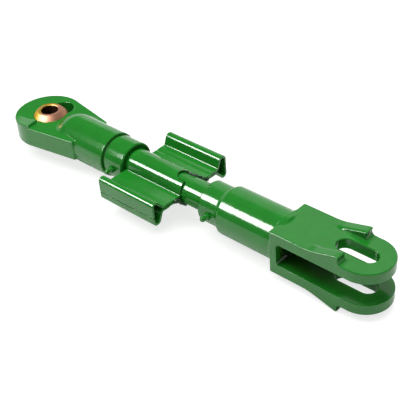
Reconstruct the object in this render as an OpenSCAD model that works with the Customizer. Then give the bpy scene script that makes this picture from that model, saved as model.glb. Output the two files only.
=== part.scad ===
// Three-point lift link: a forged eye with a swivel ball, a screwed spindle turned by a two-wing
// handle, and a forged fork. Millimetres. The origin is the centre of the ball, X runs along the
// link to the fork and Z is the axis of the ball's bore.

/* [Swivel ball] */
// Radius of the pin bore through the ball
ball_bore_r = 12.75; // [11:0.05:13]
// Radius of the ball
ball_r = 28.5; // [27:0.1:30]
// Half of the ball's width between its flat faces
ball_half_w = 22.5; // [21:0.1:24]

/* [Eye end] */
// Radius of the eye's round end
eye_r = 49; // [45:0.5:52]
// How far the round end's centre lies behind the ball
eye_back = 4; // [0:0.5:6]
// Thickness of the eye plate
eye_t = 32; // [28:0.5:34]
// Where the eye plate's sides end on the boss
eye_end_x = 86; // [80:0.5:92]
// Half width of the eye plate at that end
eye_end_y = 34; // [33:0.5:38]
// Radius of the loading notch beside the ball
notch_r = 16.5; // [14:0.5:18]
// How far the notch reaches from the ball's centre
notch_reach = 37.5; // [34:0.5:39]
// Height of the small lug on the eye plate
eye_lug_h = 4.5; // [3:0.5:6]
// Radius of the hollow boss
boss_r = 32.2; // [31:0.1:34]
// Centre of the boss's round nose
boss_nose_x = 62; // [58:0.5:66]
// Open end of the boss
boss_end_x = 141.4; // [136:0.1:146]

/* [Collar] */
// Outer radius of the retaining collar
collar_r = 29.9; // [29:0.1:31.5]
// Free end of the collar
collar_end_x = 178.5; // [174:0.1:182]
// Radius of the screwed part of the collar and of the bore that takes it
collar_screw_r = 24; // [23:0.1:25]

/* [Spindle] */
// Radius of the spindle's plain shaft
shaft_r = 19.2; // [18.5:0.1:20]
// Radius over the spindle's thread
thread_r = 18; // [17:0.1:18.5]
// Depth of the thread
thread_depth = 3; // [2:0.1:3.5]
// Lead of the thread
thread_lead = 6; // [5:0.5:7]
// Where the plain shaft ends and the thread starts
shaft_end_x = 330; // [324:1:334]
// End of the spindle
spindle_end_x = 434; // [432:1:435]
// Radius of the head that the collar holds
head_r = 22.6; // [22:0.1:23]
// Thickness of the head
head_t = 22; // [18:1:24]

/* [Handle] */
// Thickness of the handle's sheet
sheet_t = 3.3; // [2.8:0.1:3.6]
// End of the handle next to the collar
handle_x0 = 181; // [180:0.5:184]
// End of the handle next to the fork's neck
handle_x1 = 281.4; // [276:0.1:286]
// Half width over both wings, to the middle of the sheet
wing_y = 70; // [66:0.5:74]
// Height of the bead on a stamping's long-wall side, to the middle of the sheet
long_bead_z = 15.2; // [14.5:0.1:16.5]
// Height of the bead on its short-wall side, to the middle of the sheet
short_bead_z = 17; // [15.5:0.1:18]
// Length of the notch in each saddle's end
saddle_notch = 13.4; // [10:0.1:16]

/* [Fork forging] */
// Radius of the neck
neck_r = 28.2; // [27:0.1:29]
// Open end of the neck
neck_x0 = 319; // [316:0.5:323]
// Radius of the body
body_r = 33.4; // [32:0.1:35]
// Back face of the fork
fork_x0 = 442; // [438:0.5:446]
// Bottom of the gap between the ears
gap_x0 = 453; // [451:0.5:456]
// Width of the ears
fork_w = 71.2; // [68:0.2:74]
// Height over both ears
fork_h = 61.6; // [58:0.2:64]
// Thickness of one ear
ear_t = 15; // [13:0.2:16]
// Centre of the ears' round ends
ear_end_x = 557; // [552:0.5:562]
// Radius of the slot's ends
slot_r = 11.5; // [11:0.1:13]
// Centre of the slot's end nearer to the body
slot_x0 = 528.5; // [526:0.5:531]
// Centre of the slot's far end
slot_x1 = 561.5; // [559:0.5:564]
// Height of the lugs on the ears
lug_h = 11; // [9:0.5:12]
// Where the lugs start to rise
lug_x0 = 500; // [496:0.5:504]
// Where the lugs end
lug_x1 = 543; // [540:0.5:546]
// Width of a lug
lug_w = 14.6; // [12:0.2:16]

/* [Grease fittings] */
// Distance that a grease fitting stands out
fitting_l = 13; // [11:0.5:15]

/* [Hidden] */

green = "#2e8b3a";
zinc = "#c9a86a";
bronze = "#b08d57";
black = "#20241f";
steel = "#9a9d9f";

run_gap = 0.05;
seat_gap = 0.02;
seal_w = 2.1;
seal_r = collar_screw_r + 4.5;
collar_fitting_x = (boss_end_x + seal_w + collar_end_x) / 2;
washer_t = 4;
bush_wall = 2.75;
screw_x0 = 110;
head_x0 = screw_x0 - washer_t - head_t;
cavity_x0 = head_x0 - washer_t - 2 * seat_gap;
bush_r = shaft_r + run_gap + bush_wall;
neck_bush_r = shaft_r + run_gap + 0.307 * (neck_r - shaft_r - run_gap);
neck_wall = neck_r - neck_bush_r;
socket_r = ball_r + run_gap;
nut_x0 = shaft_end_x + 19;
nut_x1 = nut_x0 + 37;
relief_r = 20.5;
stop_x = spindle_end_x - 5;
body_x0 = 354;
guide_x0 = neck_x0 + 4;
guide_x1 = neck_x0 + 28;
wiper_x0 = neck_x0 + 0.6;
pin_x = neck_x0 + 2.1;
neck_fitting_x = neck_x0 + 17;
pin_angle = 108;
pin_r = 1.6;
pin_recess_r = 2.4;
pin_recess = neck_wall * 0.35;
neck_shank = neck_wall * 0.8;
collar_shank = 5;
hex_flats = 9;
hex_t = 4;
check_r = 1.4;
$fn = 72;

// A cylinder along X from x0 to x1.
module x_cylinder(x0, x1, r, r2 = -1) {
    translate([x0, 0, 0])
        rotate([0, 90, 0])
            cylinder(h = x1 - x0, r1 = r, r2 = r2 < 0 ? r : r2);
}

// A tube along X from x0 to x1.
module x_tube(x0, x1, r_out, r_in) {
    difference() {
        x_cylinder(x0, x1, r_out);
        x_cylinder(x0 - 1, x1 + 1, r_in);
    }
}

// A solid turned about X. The profile's points are [x, r].
module x_turned(points) {
    rotate([0, 90, 0])
        rotate([0, 0, 90])
            rotate_extrude()
                polygon([for (p = points) [p[1], p[0]]]);
}

// The outline of the eye plate, smaller by inset: a round end and two sides tangent to it.
function eye_points(inset) =
    let (reach = eye_end_x + eye_back,
        side = atan(eye_end_y / reach) + acos(eye_r / norm([reach, eye_end_y])),
        end_y = eye_end_y - inset / sin(side))
    concat([[eye_end_x, -end_y], [eye_end_x, end_y]],
        arc([-eye_back, 0], eye_r - inset, side, 360 - side, 48));

// The eye plate, with a small bevel on top and a drafted foot below.
module eye_plate() {
    bevel = 1.6;
    foot = 5;
    levels = [[-eye_t / 2, foot * 0.8], [foot - eye_t / 2, 0], [eye_t / 2 - bevel, 0], [eye_t / 2, bevel]];
    n = len(eye_points(0));
    polyhedron(points = [for (level = levels, p = eye_points(level[1])) [p[0], p[1], level[0]]],
        faces = concat([[for (i = [0 : n - 1]) i]],
            [[for (i = [n - 1 : -1 : 0]) 3 * n + i]],
            [for (k = [0 : 2], i = [0 : n - 1])
                let (j = (i + 1) % n)
                [k * n + i, (k + 1) * n + i, (k + 1) * n + j, k * n + j]]));
}

// The small lug that rises along one edge of the eye plate to a steep step.
module eye_lug() {
    start_x = -34;
    step_x = 1;
    inner_y = -29;
    top = eye_t / 2 - 0.5;
    intersection() {
        linear_extrude(eye_t)
            polygon(eye_points(0.4));
        rotate([0, 0, 8])
            translate([0, inner_y, 0])
                rotate([90, 0, 0])
                    linear_extrude(40)
                        polygon([[start_x, top], [step_x - 3, top + eye_lug_h + 0.5],
                            [step_x - 1, top + eye_lug_h], [step_x, top + eye_lug_h - 1.6],
                            [step_x + 1.4, top], [step_x, top - 3], [start_x, top - 3]]);
    }
}

module eye_forging() {
    notch_y = notch_reach - notch_r;
    color(green)
        difference() {
            union() {
                eye_plate();
                eye_lug();
                x_turned(concat([[boss_nose_x - boss_r, 0]], arc([boss_nose_x, 0], boss_r, 171, 90, 9),
                    [[boss_end_x - 1, boss_r], [boss_end_x, boss_r - 1], [boss_end_x, 0]]));
            }
            sphere(r = socket_r);
            translate([2, notch_y, 0])
                cylinder(h = eye_t, r = notch_r);
            translate([2 - notch_r, 0, 0])
                cube([2 * notch_r, notch_y, eye_t]);
            x_cylinder(cavity_x0, boss_end_x + 1, collar_screw_r);
        }
}

module swivel_ball() {
    color(zinc)
        difference() {
            intersection() {
                sphere(r = ball_r);
                cylinder(h = 2 * ball_half_w, r = ball_r + 1, center = true);
            }
            cylinder(h = 2 * ball_half_w + 2, r = ball_bore_r, center = true);
            for (side = [0, 180])
                rotate([side, 0, 0])
                    translate([0, 0, ball_half_w - 1])
                        cylinder(h = 1.1, r1 = ball_bore_r, r2 = ball_bore_r + 1.1);
        }
}

module retaining_collar() {
    shoulder_x = boss_end_x + seal_w;
    screw_r = collar_screw_r - seat_gap;
    groove_x = shoulder_x + 2.2;
    lip_r = shaft_r + 0.4;
    color(green)
        difference() {
            x_turned([[screw_x0, bush_r + seat_gap], [screw_x0, screw_r], [shoulder_x, screw_r],
                [shoulder_x, collar_r - 1.2], [groove_x, collar_r - 1.2], [groove_x + 1, collar_r],
                [collar_end_x - 1.2, collar_r], [collar_end_x, collar_r - 1.2], [collar_end_x, lip_r],
                [collar_end_x - 2.5, lip_r], [collar_end_x - 2.5, bush_r + seat_gap]]);
            translate([collar_fitting_x, 0, 0])
                rotate([90, 0, 0])
                    cylinder(h = 40, r = 2.5);
        }
}

module collar_seal_ring() {
    color(black)
        x_tube(boss_end_x + seat_gap, boss_end_x + seal_w - seat_gap, seal_r, collar_screw_r);
}

module collar_bush() {
    color(bronze)
        x_tube(screw_x0 + 0.5, collar_end_x - 2.5 - seat_gap, bush_r, shaft_r + run_gap);
}

module thrust_washer_front() {
    color(bronze)
        x_tube(screw_x0 - washer_t + seat_gap, screw_x0 - seat_gap, head_r + 1, shaft_r + run_gap);
}

module thrust_washer_rear() {
    color(bronze)
        x_tube(cavity_x0 + seat_gap, head_x0 - seat_gap, head_r + 1, 6);
}

// Ring grooves between x0 and x1, one at each lead, cut into a shaft or a bore at radius r.
function thread_rings(x0, x1, r, depth) =
    let (count = floor((x1 - x0) / thread_lead),
        land = thread_lead * 0.32,
        flank = thread_lead * 0.14)
    [for (i = [0 : count - 1], k = [0 : 3])
        let (x = x0 + i * thread_lead)
        k == 0 ? [x + land, r] :
        k == 1 ? [x + land + flank, r + depth] :
        k == 2 ? [x + thread_lead - land * 0.2 - flank, r + depth] : [x + thread_lead - land * 0.2, r]];

module adjusting_spindle() {
    thread_x0 = shaft_end_x + 2;
    thread_x1 = stop_x - 2;
    groove_r = thread_r - 1.6;
    color(green)
        x_turned(concat([[head_x0, 0], [head_x0, head_r - 1], [head_x0 + 1, head_r],
            [screw_x0 - washer_t, head_r], [screw_x0 - washer_t, shaft_r], [shaft_end_x - 1.2, shaft_r],
            [shaft_end_x, thread_r]],
            thread_rings(thread_x0, thread_x1, thread_r, -thread_depth),
            [[stop_x, thread_r], [stop_x, groove_r], [stop_x + 2.5, groove_r], [stop_x + 2.5, thread_r],
            [spindle_end_x - 1.5, thread_r], [spindle_end_x, thread_r - 1.5], [spindle_end_x, 0]]));
}

// Points of an arc about c from angle a0 to a1.
function arc(c, r, a0, a1, n) =
    [for (i = [0 : n]) let (a = a0 + (a1 - a0) * i / n) c + r * [cos(a), sin(a)]];

// The line of half a stamping's sheet, shifted outwards by o. It runs up the outer wall, over the bead,
// down its inner side into the valley, along the web and up the fillet to the saddle. The inner side
// faces tilt degrees above the horizontal, so a small tilt makes it steep. Under the saddle the line
// lies deeper than the sheet, because the bore for the shaft is cut afterwards.
function wing_line(o, wall_end, bead_z, bead_r, tilt) =
    let (valley_r = 5, fillet_r = 3.5,
        web_z = sheet_t / 2,
        saddle_r = shaft_r + 0.08 + sheet_t / 2,
        deeper = o < 0 ? 0.6 : 0,
        bead_c = [-wing_y + bead_r, bead_z - bead_r],
        side = bead_c[0] * cos(tilt) + bead_c[1] * sin(tilt) + bead_r,
        valley_z = web_z + valley_r,
        valley_c = [(side + valley_r - valley_z * sin(tilt)) / cos(tilt), valley_z],
        fillet_c = [-sqrt(pow(saddle_r + fillet_r, 2) - pow(web_z + fillet_r, 2)), web_z + fillet_r],
        lean = atan(-fillet_c[1] / fillet_c[0]))
    concat([[-wing_y - o, wall_end]],
        arc(bead_c, bead_r + o, 180, tilt, 9),
        arc(valley_c, valley_r - o, 180 + tilt, 270, 5),
        arc(fillet_c, fillet_r - o, 270, 350 - lean, 5),
        arc([0, 0], saddle_r + o - deeper, 178 - lean, 90, 12));

function mirrored(points) = [for (i = [len(points) - 1 : -1 : 0]) [-points[i][0], points[i][1]]];

// The line of a whole stamping. Its outer wall is long on one side and short on the other, so two
// equal stampings meet away from the middle of each wall.
function stamping_line(o) =
    let (seam = 7)
    concat(wing_line(o, 0.1 - seam, long_bead_z, 4.6, 42),
        mirrored(wing_line(o, seam + 0.1, short_bead_z, 5.6, 22)));

// One stamping, saddle up.
module stamping() {
    outer = stamping_line(sheet_t / 2);
    inner = stamping_line(-sheet_t / 2);
    difference() {
        translate([handle_x0, 0, 0])
            rotate([90, 0, 90])
                linear_extrude(handle_x1 - handle_x0)
                    polygon(concat(outer, [for (i = [len(inner) - 1 : -1 : 0]) inner[i]]));
        x_cylinder(handle_x0 - 1, handle_x1 + 1, shaft_r + 0.08);
        translate([handle_x1 - saddle_notch + 5, 0, 0])
            cylinder(h = 40, r = 9.5);
        translate([handle_x1 - saddle_notch + 5, -9.5, 0])
            cube([20, 19, 40]);
    }
}

module handle_upper_stamping() {
    color(green)
        translate([0, 0, 0.06])
            stamping();
}

module handle_lower_stamping() {
    color(green)
        rotate([180, 0, 0])
            translate([0, 0, 0.06])
                stamping();
}

// Weld that joins the saddles and webs to the spindle, at the webs' roots.
module handle_weld_beads() {
    sweep = 64;
    size = 5;
    color(green)
        for (start = [168, 348])
            translate([handle_x1 + 0.04, 0, 0])
                rotate([0, 90, 0])
                    rotate([0, 0, start + 90])
                        rotate_extrude(angle = sweep)
                            polygon([[shaft_r + 0.04, 0], [shaft_r + size, 0], [shaft_r + size * 0.8, 1.8],
                                [shaft_r + size * 0.4, 3.4], [shaft_r + 0.04, 4.2]]);
}

module spindle_stop_ring() {
    color(steel)
        x_tube(stop_x + seat_gap, stop_x + 2.5 - seat_gap, relief_r - 0.4, thread_r - 1.6 + seat_gap);
}

// A wedge on an ear: a bar with a rounded inner edge that rises out of the ear along its own edge. It ends
// in a lip over a hollow step.
module ear_lug() {
    top = fork_h / 2;
    peak = lug_x1 - 3;
    tilt = atan(lug_h / (peak - lug_x0));
    end_x = lug_x1 + 7;
    round_r = 4.5;
    hollow_r = 6;
    intersection() {
        translate([lug_x0, -fork_w / 2, top])
            rotate([0, -tilt, 0])
                translate([-12, 0, 0])
                    rotate([90, 0, 90])
                        linear_extrude(end_x - lug_x0 + 30)
                            polygon(concat([[0, -30], [0, 0]],
                                arc([lug_w - round_r, -round_r], round_r, 90, 0, 6),
                                [[lug_w, -30]]));
        rotate([90, 0, 0])
            linear_extrude(2 * fork_w, center = true)
                polygon(concat([[lug_x0 - 8, top - 3], [lug_x0 - 8, top + 2 * lug_h],
                    [peak - 3, top + 2 * lug_h], [peak - 3, top + lug_h + 2.5], [lug_x1, top + lug_h - 2]],
                    arc([lug_x1 + hollow_r - 1.5, top + hollow_r - 0.3], hollow_r, 160, 270, 7),
                    [[end_x, top - 0.3], [end_x, top - 3]]));
    }
}

// The outline of the ears, seen along the ball's bore.
module ear_outline() {
    corner = 3;
    hull() {
        translate([ear_end_x, 0])
            circle(r = fork_w / 2, $fn = 96);
        for (side = [-1, 1])
            translate([fork_x0 + corner, side * (fork_w / 2 - corner)])
                circle(r = corner, $fn = 24);
    }
}

module clevis_fork() {
    top = fork_h / 2;
    gap = fork_h - 2 * ear_t;
    runout_x = gap_x0 + 4;
    gap_corner = 5;
    color(green)
        difference() {
            union() {
                x_cylinder(neck_x0 + 1, body_x0 - 7, neck_r);
                x_cylinder(neck_x0, neck_x0 + 1, neck_r - 1, neck_r);
                x_cylinder(body_x0 - 7, body_x0 + 1, neck_r, body_r - 1);
                x_cylinder(body_x0 + 1, body_x0 + 2, body_r - 1, body_r);
                x_cylinder(body_x0 + 2, gap_x0 - 5, body_r);
                x_cylinder(gap_x0 - 5, runout_x + 2, body_r, fork_h / 2 - 0.6);
                x_cylinder(fork_x0 - 6, fork_x0 + 1, body_r - 0.1, body_r + 1.8);
                translate([0, 0, -top])
                    linear_extrude(fork_h)
                        ear_outline();
                for (turn = [0, 180], side = [0, 1])
                    rotate([turn, 0, 0])
                        mirror([0, side, 0])
                            ear_lug();
            }
            translate([gap_x0, -fork_w, -gap / 2 + gap_corner])
                cube([200, 2 * fork_w, gap - 2 * gap_corner]);
            translate([gap_x0 + gap_corner, -fork_w, -gap / 2])
                cube([200, 2 * fork_w, gap]);
            for (side = [-1, 1])
                translate([gap_x0 + gap_corner, 0, side * (gap / 2 - gap_corner)])
                    rotate([90, 0, 0])
                        cylinder(h = 2 * fork_w, r = gap_corner, center = true);
            for (x = [slot_x0, slot_x1])
                translate([x, 0, 0])
                    cylinder(h = 100, r = slot_r, center = true);
            translate([slot_x0, -slot_r, -50])
                cube([slot_x1 - slot_x0, 2 * slot_r, 100]);
            x_cylinder(neck_x0 - 1, guide_x1, neck_bush_r + seat_gap);
            x_cylinder(guide_x1 - 1, nut_x0, shaft_r + 0.6);
            x_turned(concat([[nut_x0 - 1, 0], [nut_x0 - 1, thread_r + run_gap]],
                thread_rings(nut_x0, nut_x1, thread_r + run_gap, thread_depth * 0.9),
                [[nut_x1 + 1, thread_r + run_gap], [nut_x1 + 1, 0]]));
            x_cylinder(nut_x1, gap_x0 + 1, relief_r);
            translate([neck_fitting_x, 0, 0])
                rotate([90, 0, 0])
                    cylinder(h = 40, r = 2.5);
            rotate([pin_angle, 0, 0])
                translate([pin_x, 0, 0])
                    rotate([-90, 0, 0]) {
                        cylinder(h = neck_r, r = pin_r + seat_gap);
                        translate([0, 0, neck_r - pin_recess])
                            cylinder(h = 10, r = pin_recess_r);
                    }
        }
}

module neck_guide_bush() {
    color(bronze)
        x_tube(guide_x0 + 0.2, guide_x1 - 0.5, neck_bush_r, shaft_r + run_gap);
}

module neck_wiper_seal() {
    color(black)
        x_tube(wiper_x0, guide_x0 - 0.2, neck_bush_r, shaft_r + run_gap);
}

// A pin at the neck's rim, at the bottom of a small notch.
module neck_stop_pin() {
    color(green)
        rotate([pin_angle, 0, 0])
            translate([pin_x, neck_bush_r + 0.1, 0])
                rotate([-90, 0, 0])
                    cylinder(h = neck_wall - pin_recess - 0.1, r = pin_r);
}

// A grease fitting that stands out along -Y from a surface at radius r, screwed in by its shank.
module grease_fitting(x, r, shank) {
    color(green)
        translate([x, -r, 0])
            rotate([90, 0, 0])
                difference() {
                    union() {
                        translate([0, 0, -shank])
                            cylinder(h = shank + 0.6, r = 2.5 - seat_gap);
                        translate([0, 0, 0.5])
                            cylinder(h = hex_t, r = hex_flats / sqrt(3), $fn = 6);
                        rotate_extrude()
                            polygon([[0, 0.5 + hex_t], [3, 0.5 + hex_t], [2.3, 7.5], [3.3, 9.5],
                                [3.3, 10.6], [2, fitting_l], [0, fitting_l]]);
                    }
                    translate([0, 0, -6])
                        cylinder(h = 6 + fitting_l - 2.4, r = check_r + 0.1);
                    cylinder(h = 30, r = 0.8);
                }
}

module fitting_ball(x, r) {
    color(steel)
        translate([x, -r - fitting_l + 2.4 + check_r + 0.03, 0])
            sphere(r = check_r);
}

module fitting_spring(x, r, shank) {
    color(steel)
        translate([x, -r, 0])
            rotate([90, 0, 0])
                difference() {
                    translate([0, 0, 1 - shank])
                        cylinder(h = shank - 1 + fitting_l - 2.4 - 2 * check_r - 0.06, r = check_r);
                    translate([0, 0, -5])
                        cylinder(h = 30, r = check_r - 0.5);
                }
}

module collar_grease_fitting() grease_fitting(collar_fitting_x, collar_r, collar_shank);
module collar_fitting_ball() fitting_ball(collar_fitting_x, collar_r);
module collar_fitting_spring() fitting_spring(collar_fitting_x, collar_r, collar_shank);
module neck_grease_fitting() grease_fitting(neck_fitting_x, neck_r, neck_shank);
module neck_fitting_ball() fitting_ball(neck_fitting_x, neck_r);
module neck_fitting_spring() fitting_spring(neck_fitting_x, neck_r, neck_shank);

eye_forging();
swivel_ball();
retaining_collar();
collar_seal_ring();
collar_bush();
thrust_washer_front();
thrust_washer_rear();
adjusting_spindle();
handle_upper_stamping();
handle_lower_stamping();
handle_weld_beads();
spindle_stop_ring();
clevis_fork();
neck_guide_bush();
neck_wiper_seal();
neck_stop_pin();
collar_grease_fitting();
collar_fitting_ball();
collar_fitting_spring();
neck_grease_fitting();
neck_fitting_ball();
neck_fitting_spring();
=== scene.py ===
"""Three-point lift link in its enamel: a forged eye with a swivel ball, a screwed spindle turned by a
two-wing handle pressed from sheet, and a forged fork. Sizes in the sections are millimetres."""

import math

import bmesh
import bpy
import numpy as np
from mathutils import Matrix


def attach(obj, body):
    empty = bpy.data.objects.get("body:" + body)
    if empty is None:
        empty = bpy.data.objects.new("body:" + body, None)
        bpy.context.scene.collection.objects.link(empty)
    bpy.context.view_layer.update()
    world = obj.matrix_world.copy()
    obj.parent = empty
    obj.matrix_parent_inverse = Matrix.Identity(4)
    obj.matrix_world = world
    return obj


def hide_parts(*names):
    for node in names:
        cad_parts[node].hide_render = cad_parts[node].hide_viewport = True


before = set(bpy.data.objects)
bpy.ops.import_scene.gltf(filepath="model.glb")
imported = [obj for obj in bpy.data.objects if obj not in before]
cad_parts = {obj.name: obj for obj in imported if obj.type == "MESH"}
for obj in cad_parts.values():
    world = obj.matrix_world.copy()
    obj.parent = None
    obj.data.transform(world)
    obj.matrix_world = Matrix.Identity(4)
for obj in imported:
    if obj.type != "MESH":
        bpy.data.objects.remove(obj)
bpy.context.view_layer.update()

# Eye forging: carbon steel, drop-forged as a flat eye with a round-nosed boss, then bored for the ball and
# the spindle's head. Forging leaves soft edges, fillets where forms meet, and a slightly uneven skin.

eye_x, eye_r, plate_z, plate_end = -4, 49, 16, 86
boss_r, nose_x, boss_end = 32.2, 62, 141.4
socket_r, notch_x, notch_y, notch_r = 28.55, 3.5, 20, 17.5
head_bore_r, head_bore_x = 24, 79.96


def linear(hex_colour):
    """The linear colour of an sRGB hex colour."""
    c = np.array([int(hex_colour[i:i + 2], 16) for i in (1, 3, 5)]) / 255
    return (*np.where(c <= 0.04045, c / 12.92, ((c + 0.055) / 1.055) ** 2.4), 1.0)


def add(tree, kind, inputs=None, **settings):
    """Adds a node of a kind with its settings. An input is a value or another node's output."""
    made = tree.nodes.new(kind)
    for name, value in settings.items():
        setattr(made, name, value)
    for socket, value in (inputs or {}).items():
        if isinstance(value, bpy.types.NodeSocket):
            tree.links.new(value, made.inputs[socket])
        else:
            made.inputs[socket].default_value = value
    return made


def enamel(name, coat, thin, skin_mm, skin_height, roughness):
    """Sprayed and stoved alkyd enamel: a glossy film, IOR 1.5, over a skin with waves of skin_mm. Where the
    film is thin it is a little darker. It has orange peel of about 2.5 mm, only some microns high."""
    material = bpy.data.materials.new(name)
    material.use_nodes = True
    tree = material.node_tree
    shader = tree.nodes["Principled BSDF"]
    place = add(tree, "ShaderNodeTexCoord").outputs["Object"]
    film = add(tree, "ShaderNodeTexNoise", {"Vector": place, "Scale": 1000 / 22, "Detail": 3.0})
    share = add(tree, "ShaderNodeMapRange", {"Value": film.outputs["Fac"], "From Min": 0.3, "From Max": 0.7})
    colour = add(tree, "ShaderNodeMix", {"Factor": share.outputs["Result"], "A": linear(thin),
                                         "B": linear(coat)}, data_type="RGBA")
    waves = add(tree, "ShaderNodeTexNoise", {"Vector": place, "Scale": 1000 / skin_mm, "Detail": 2.0})
    uneven = add(tree, "ShaderNodeBump", {"Height": waves.outputs["Fac"], "Strength": 1.0,
                                          "Distance": skin_height * 0.001})
    peel = add(tree, "ShaderNodeTexNoise", {"Vector": place, "Scale": 1000 / 2.5, "Detail": 1.0})
    bump = add(tree, "ShaderNodeBump", {"Height": peel.outputs["Fac"], "Strength": 1.0,
                                        "Distance": 0.000012, "Normal": uneven.outputs["Normal"]})
    tree.links.new(colour.outputs["Result"], shader.inputs["Base Color"])
    tree.links.new(bump.outputs["Normal"], shader.inputs["Normal"])
    shader.inputs["Roughness"].default_value = roughness
    shader.inputs["IOR"].default_value = 1.5
    return material


def both(a, b, r):
    """Distance to what lies in a and in b, their shared edge rounded to radius r."""
    return np.minimum(-r, np.maximum(a, b)) + np.hypot(np.maximum(r + a, 0), np.maximum(r + b, 0))


def either(a, b, r):
    """Distance to what lies in a or in b, the corner between them filled to radius r."""
    return np.maximum(r, np.minimum(a, b)) - np.hypot(np.maximum(r - a, 0), np.maximum(r - b, 0))


def skin(name, distance, low, high, cell):
    """The surface where distance(x, y, z) is 0, in mm. Each grid cell that it crosses has one point, first
    at the mean of the crossings on the cell's edges, then moved down the distance's slope onto the surface.
    Each grid edge that it crosses has one face. Normals are the distance's slope."""
    low = np.array(low, float) - 1.6 * cell
    count = np.ceil((np.array(high, float) + 1.6 * cell - low) / cell).astype(int) + 1
    grid = np.meshgrid(*[low[k] + cell * np.arange(count[k]) for k in range(3)], indexing="ij")
    value = distance(*grid)
    inside = value < 0
    total, hits, edges = np.zeros((*(count - 1), 3)), np.zeros(count - 1), []
    for axis in range(3):
        u, v = (axis + 1) % 3, (axis + 2) % 3
        start, end = [slice(None)] * 3, [slice(None)] * 3
        start[axis], end[axis] = slice(0, -1), slice(1, None)
        start, end = tuple(start), tuple(end)
        cross = inside[start] != inside[end]
        share = np.where(cross, value[start] / np.where(cross, value[start] - value[end], 1), 0)
        point = np.stack([g[start] for g in grid], -1)
        point[..., axis] += cell * share
        for du in (0, 1):
            for dv in (0, 1):
                part = [slice(None)] * 3
                part[u] = slice(du, du + count[u] - 1)
                part[v] = slice(dv, dv + count[v] - 1)
                part = tuple(part)
                hits += cross[part]
                total += point[part] * cross[part][..., None]
        edges.append((axis, u, v, np.argwhere(cross), inside[start][cross]))
    active = hits > 0
    assert not active[0].any() and not active[:, 0].any() and not active[:, :, 0].any(), name
    index = np.full(active.shape, -1)
    index[active] = np.arange(active.sum())
    points = total[active] / hits[active][:, None]
    faces = []
    for axis, u, v, place, outward in edges:
        corners = []
        for du, dv in ((-1, -1), (0, -1), (0, 0), (-1, 0)):
            at = place.copy()
            at[:, u] += du
            at[:, v] += dv
            corners.append(index[tuple(at.T)])
        face = np.stack(corners, 1)
        faces.append(np.where(outward[:, None], face, face[:, ::-1]))
    for _ in range(5):
        slope = slope_of(distance, points)
        size = np.maximum((slope ** 2).sum(1), 0.05)
        step = (distance(*points.T) / size)[:, None] * slope
        length = np.maximum(np.linalg.norm(step, axis=1), 1e-9)
        points = points - step * np.minimum(1, 0.5 * cell / length)[:, None]
    return solid(name, points, np.concatenate(faces).tolist(), slope_of(distance, points))


def slope_of(distance, points, h=0.02):
    """How fast the distance grows along X, Y and Z, from its values h mm to either side."""
    return np.stack([(distance(*(points + h * e).T) - distance(*(points - h * e).T)) / (2 * h)
                     for e in np.eye(3)], 1)


def solid(name, points, faces, normals=None):
    """An object with these points in mm, faces and point normals, smooth-shaded, at the origin."""
    mesh = bpy.data.meshes.new(name)
    mesh.from_pydata((points * 0.001).tolist(), [], faces)
    mesh.polygons.foreach_set("use_smooth", np.ones(len(mesh.polygons), bool))
    if normals is not None:
        length = np.maximum(np.linalg.norm(normals, axis=1), 1e-9)
        mesh.normals_split_custom_set_from_vertices((normals / length[:, None]).tolist())
    made = bpy.data.objects.new(name, mesh)
    bpy.context.scene.collection.objects.link(made)
    return made


def eye_distance(x, y, z):
    """The plate: a round end and two sides tangent to it. Added to it: the round-nosed boss, filled to the
    plate, and the lug, whose top climbs 0.153 mm for each mm. Taken away: the ball's socket, its loading
    notch and the bore for the head."""
    along, across = x - eye_x, np.abs(y)
    side_turn = math.radians(80.08)
    side = math.cos(side_turn) * along + math.sin(side_turn) * across - eye_r
    past = math.sin(side_turn) * along - math.cos(side_turn) * across
    outline = both(np.where(past < 0, np.hypot(along, across) - eye_r, side), x - plate_end, 1.2)
    lug_turn = math.radians(8)
    lug_x = math.cos(lug_turn) * x + math.sin(lug_turn) * y
    lug_y = math.cos(lug_turn) * y - math.sin(lug_turn) * x
    lug_top = (z - 15.6 - (lug_x + 34) * 0.153) * 0.988
    lug = both(both(lug_top, lug_x - 1.2 + (z - plate_z) * 0.2, 0.9), lug_y + 29, 1.2)
    plate = both(either(z - plate_z, lug, 1.2), -z - plate_z, 1)
    plate = both(outline, plate, np.where(z > 0, 1.1, 4.5))
    from_axis = np.hypot(y, z)
    boss = np.where(x < nose_x, np.hypot(x - nose_x, from_axis), from_axis) - boss_r
    fillet = 4.5 - 3.3 * np.clip((x - 66) / 16, 0, 1)
    body = either(plate, both(boss, x - boss_end, 1.1), fillet)
    body = both(body, socket_r - np.sqrt(x * x + y * y + z * z), 0.6)
    notch = np.where(y > notch_y, np.hypot(x - notch_x, y - notch_y), np.abs(x - notch_x)) - notch_r
    body = both(body, -both(notch, np.maximum(-z - 3, -y), 3), 0.7)
    return both(body, -both(from_axis - head_bore_r, head_bore_x - x, 1.5), 0.8)


# Green enamel on a forging: the scale-pitted steel below makes its gloss wave a little.
green, thin_green = "#1c7a22", "#1a731f"
forged_enamel = enamel("stoved_enamel_on_forging", green, thin_green, 13, 0.11, 0.13)
eye = skin("forged_eye", eye_distance, (-53.5, -50, -33), (142, 50, 33), 1.25)
eye.data.materials.append(forged_enamel)
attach(eye, "eye")
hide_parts("eye_forging")

# Swivel ball: turned bearing steel with flat faces and a reamed pin bore, zinc-plated and yellow-passivated.
# The passivated film is iridescent, gold where it is thin and pink where it is thick.


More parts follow.
